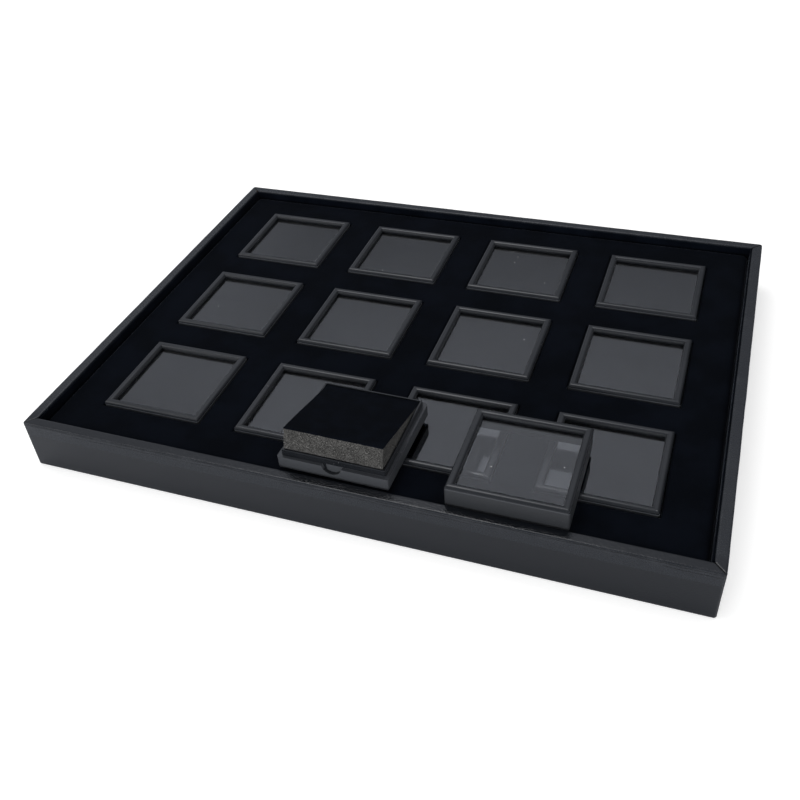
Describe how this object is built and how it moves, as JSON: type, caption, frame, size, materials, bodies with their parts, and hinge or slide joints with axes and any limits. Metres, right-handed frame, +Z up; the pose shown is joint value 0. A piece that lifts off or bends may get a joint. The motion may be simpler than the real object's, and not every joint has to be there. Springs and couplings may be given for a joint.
{
  "type": "jewelry display box",
  "caption": "Shallow leatherette display tray with a velvet pocket pad and square windowed gem boxes, each with a lift-off lid and a foam pad.",
  "frame": {"origin": "centre of the tray's underside", "axes": "+X along the tray's length, +Y towards the back, +Z up"},
  "size_m": [0.37, 0.285, 0.0519],
  "materials": {
    "leatherette": "fine grain, satin",
    "velvet": "flocked, matte",
    "lining_felt": "matte",
    "wood_core": "raw fibreboard",
    "black_plastic": "satin moulded",
    "clear_pane": "clear acrylic",
    "grey_foam": "speckled open foam, velvet face"
  },
  "bodies": {
    "tray": {"front_and_back_walls": "wood_core", "left_and_right_walls": "wood_core", "leatherette_cover": "leatherette", "velvet_wall_lining": "velvet", "bottom_board": "wood_core", "bottom_lining": "lining_felt", "pad_underlay": "lining_felt", "pocket_pad": "velvet"},
    "box_r1_c1": {"gem_box_r1_c1_base": "black_plastic", "gem_box_r1_c1_foam": "grey_foam"},
    "lid_r1_c1": {"gem_box_r1_c1_lid": "black_plastic", "gem_box_r1_c1_pane": "clear_pane"},
    "box_r1_c2": {"gem_box_r1_c2_base": "black_plastic", "gem_box_r1_c2_foam": "grey_foam"},
    "lid_r1_c2": {"gem_box_r1_c2_lid": "black_plastic", "gem_box_r1_c2_pane": "clear_pane"},
    "box_r1_c3": {"gem_box_r1_c3_base": "black_plastic", "gem_box_r1_c3_foam": "grey_foam"},
    "lid_r1_c3": {"gem_box_r1_c3_lid": "black_plastic", "gem_box_r1_c3_pane": "clear_pane"},
    "box_r1_c4": {"gem_box_r1_c4_base": "black_plastic", "gem_box_r1_c4_foam": "grey_foam"},
    "lid_r1_c4": {"gem_box_r1_c4_lid": "black_plastic", "gem_box_r1_c4_pane": "clear_pane"},
    "box_r2_c1": {"gem_box_r2_c1_base": "black_plastic", "gem_box_r2_c1_foam": "grey_foam"},
    "lid_r2_c1": {"gem_box_r2_c1_lid": "black_plastic", "gem_box_r2_c1_pane": "clear_pane"},
    "box_r2_c2": {"gem_box_r2_c2_base": "black_plastic", "gem_box_r2_c2_foam": "grey_foam"},
    "lid_r2_c2": {"gem_box_r2_c2_lid": "black_plastic", "gem_box_r2_c2_pane": "clear_pane"},
    "box_r2_c3": {"gem_box_r2_c3_base": "black_plastic", "gem_box_r2_c3_foam": "grey_foam"},
    "lid_r2_c3": {"gem_box_r2_c3_lid": "black_plastic", "gem_box_r2_c3_pane": "clear_pane"},
    "box_r2_c4": {"gem_box_r2_c4_base": "black_plastic", "gem_box_r2_c4_foam": "grey_foam"},
    "lid_r2_c4": {"gem_box_r2_c4_lid": "black_plastic", "gem_box_r2_c4_pane": "clear_pane"},
    "box_r3_c1": {"gem_box_r3_c1_base": "black_plastic", "gem_box_r3_c1_foam": "grey_foam"},
    "lid_r3_c1": {"gem_box_r3_c1_lid": "black_plastic", "gem_box_r3_c1_pane": "clear_pane"},
    "box_r3_c2": {"gem_box_r3_c2_base": "black_plastic", "gem_box_r3_c2_foam": "grey_foam"},
    "lid_r3_c2": {"gem_box_r3_c2_lid": "black_plastic", "gem_box_r3_c2_pane": "clear_pane"},
    "box_r3_c3": {"gem_box_r3_c3_base": "black_plastic", "gem_box_r3_c3_foam": "grey_foam"},
    "lid_r3_c3": {"gem_box_r3_c3_lid": "black_plastic", "gem_box_r3_c3_pane": "clear_pane"},
    "box_r3_c4": {"gem_box_r3_c4_base": "black_plastic", "gem_box_r3_c4_foam": "grey_foam"},
    "lid_r3_c4": {"gem_box_r3_c4_lid": "black_plastic", "gem_box_r3_c4_pane": "clear_pane"},
    "open_base": {"open_box_base": "black_plastic"},
    "open_foam": {"open_box_foam": "grey_foam"},
    "loose_lid": {"loose_lid": "black_plastic", "loose_lid_pane": "clear_pane"}
  },
  "joints": [
    {"name": "lift_open_base", "type": "slide", "parent": "tray", "child": "open_base", "axis": [0, 0, 1], "range_m": [0, 0.12]},
    {"name": "lift_box_r1_c1", "type": "slide", "parent": "tray", "child": "box_r1_c1", "axis": [0, 0, 1], "range_m": [0, 0.045]},
    {"name": "lift_lid_r1_c1", "type": "slide", "parent": "box_r1_c1", "child": "lid_r1_c1", "axis": [0, 0, 1], "range_m": [0, 0.03]},
    {"name": "lift_box_r1_c2", "type": "slide", "parent": "tray", "child": "box_r1_c2", "axis": [0, 0, 1], "range_m": [0, 0.045]},
    {"name": "lift_lid_r1_c2", "type": "slide", "parent": "box_r1_c2", "child": "lid_r1_c2", "axis": [0, 0, 1], "range_m": [0, 0.03]},
    {"name": "lift_box_r1_c3", "type": "slide", "parent": "tray", "child": "box_r1_c3", "axis": [0, 0, 1], "range_m": [0, 0.045]},
    {"name": "lift_lid_r1_c3", "type": "slide", "parent": "box_r1_c3", "child": "lid_r1_c3", "axis": [0, 0, 1], "range_m": [0, 0.03]},
    {"name": "lift_box_r1_c4", "type": "slide", "parent": "tray", "child": "box_r1_c4", "axis": [0, 0, 1], "range_m": [0, 0.045]},
    {"name": "lift_lid_r1_c4", "type": "slide", "parent": "box_r1_c4", "child": "lid_r1_c4", "axis": [0, 0, 1], "range_m": [0, 0.03]},
    {"name": "lift_box_r2_c1", "type": "slide", "parent": "tray", "child": "box_r2_c1", "axis": [0, 0, 1], "range_m": [0, 0.045]},
    {"name": "lift_lid_r2_c1", "type": "slide", "parent": "box_r2_c1", "child": "lid_r2_c1", "axis": [0, 0, 1], "range_m": [0, 0.03]},
    {"name": "lift_box_r2_c2", "type": "slide", "parent": "tray", "child": "box_r2_c2", "axis": [0, 0, 1], "range_m": [0, 0.045]},
    {"name": "lift_lid_r2_c2", "type": "slide", "parent": "box_r2_c2", "child": "lid_r2_c2", "axis": [0, 0, 1], "range_m": [0, 0.03]},
    {"name": "lift_box_r2_c3", "type": "slide", "parent": "tray", "child": "box_r2_c3", "axis": [0, 0, 1], "range_m": [0, 0.045]},
    {"name": "lift_lid_r2_c3", "type": "slide", "parent": "box_r2_c3", "child": "lid_r2_c3", "axis": [0, 0, 1], "range_m": [0, 0.03]},
    {"name": "lift_box_r2_c4", "type": "slide", "parent": "tray", "child": "box_r2_c4", "axis": [0, 0, 1], "range_m": [0, 0.045]},
    {"name": "lift_lid_r2_c4", "type": "slide", "parent": "box_r2_c4", "child": "lid_r2_c4", "axis": [0, 0, 1], "range_m": [0, 0.03]},
    {"name": "lift_box_r3_c1", "type": "slide", "parent": "tray", "child": "box_r3_c1", "axis": [0, 0, 1], "range_m": [0, 0.045]},
    {"name": "lift_lid_r3_c1", "type": "slide", "parent": "box_r3_c1", "child": "lid_r3_c1", "axis": [0, 0, 1], "range_m": [0, 0.03]},
    {"name": "lift_box_r3_c2", "type": "slide", "parent": "tray", "child": "box_r3_c2", "axis": [0, 0, 1], "range_m": [0, 0.045]},
    {"name": "lift_lid_r3_c2", "type": "slide", "parent": "box_r3_c2", "child": "lid_r3_c2", "axis": [0, 0, 1], "range_m": [0, 0.03]},
    {"name": "lift_box_r3_c3", "type": "slide", "parent": "tray", "child": "box_r3_c3", "axis": [0, 0, 1], "range_m": [0, 0.045]},
    {"name": "lift_lid_r3_c3", "type": "slide", "parent": "box_r3_c3", "child": "lid_r3_c3", "axis": [0, 0, 1], "range_m": [0, 0.03]},
    {"name": "lift_box_r3_c4", "type": "slide", "parent": "tray", "child": "box_r3_c4", "axis": [0, 0, 1], "range_m": [0, 0.045]},
    {"name": "lift_lid_r3_c4", "type": "slide", "parent": "box_r3_c4", "child": "lid_r3_c4", "axis": [0, 0, 1], "range_m": [0, 0.03]},
    {"name": "lift_open_foam", "type": "slide", "parent": "open_base", "child": "open_foam", "axis": [0, 0, 1], "range_m": [0, 0.03]},
    {"name": "lift_loose_lid", "type": "slide", "parent": "tray", "child": "loose_lid", "axis": [0, 0, 1], "range_m": [0, 0.12]}
  ],
  "couplings": [
    {"joint": "lift_box_r3_c2", "follows": "lift_open_base", "ratio": 0.375},
    {"joint": "lift_lid_r3_c2", "follows": "lift_open_base", "ratio": 0.25},
    {"joint": "lift_box_r3_c3", "follows": "lift_open_base", "ratio": 0.375},
    {"joint": "lift_lid_r3_c3", "follows": "lift_open_base", "ratio": 0.25},
    {"joint": "lift_box_r3_c4", "follows": "lift_open_base", "ratio": 0.375},
    {"joint": "lift_lid_r3_c4", "follows": "lift_open_base", "ratio": 0.25},
    {"joint": "lift_loose_lid", "follows": "lift_open_base", "ratio": 1}
  ]
}
